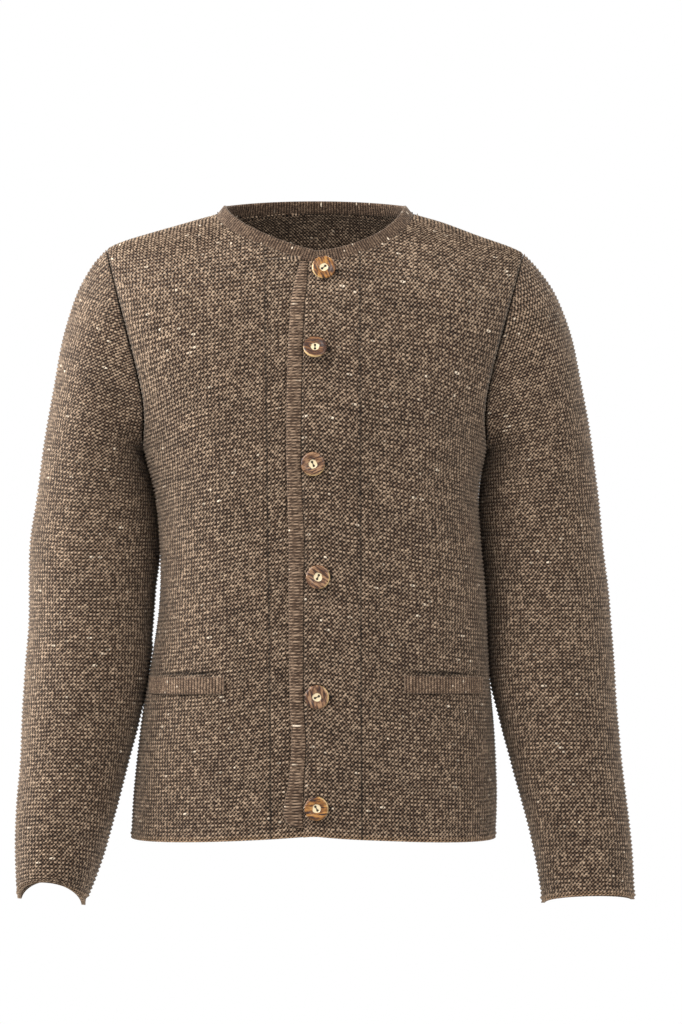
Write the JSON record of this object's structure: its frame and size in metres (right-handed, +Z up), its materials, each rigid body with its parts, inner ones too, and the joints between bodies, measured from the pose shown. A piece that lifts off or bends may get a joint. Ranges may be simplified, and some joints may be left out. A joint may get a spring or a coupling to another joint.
{
  "type": "cardigan",
  "caption": "Buttoned knitted cardigan with set-in sleeves, narrow round ribbed neckband, ribbed front edge and ribbed welt pockets, hollow as when worn",
  "frame": {"origin": "where the wearer's neck and shoulders hold the garment: on the centre line, at the height of the neck points", "axes": "+Z up, +X to the wearer's left, front facing -Y"},
  "size_m": [0.6379, 0.2479, 0.7338],
  "materials": {
    "knit": "mottled brown tweed yarn, garter side out, with pale neps",
    "rib": "fine ribbing in the same tweed yarn",
    "horn": "polished streaked horn with a pale centre"
  },
  "bodies": {
    "root": {"back": "knit", "front_left": "knit", "front_right": "knit", "sleeve_left": "knit", "sleeve_right": "knit", "neckband": "rib", "front_band": "rib", "pocket_welt_left": "rib", "pocket_welt_right": "rib", "button_1": "horn", "button_2": "horn", "button_3": "horn", "button_4": "horn", "button_5": "horn", "button_6": "horn"}
  },
  "joints": []
}
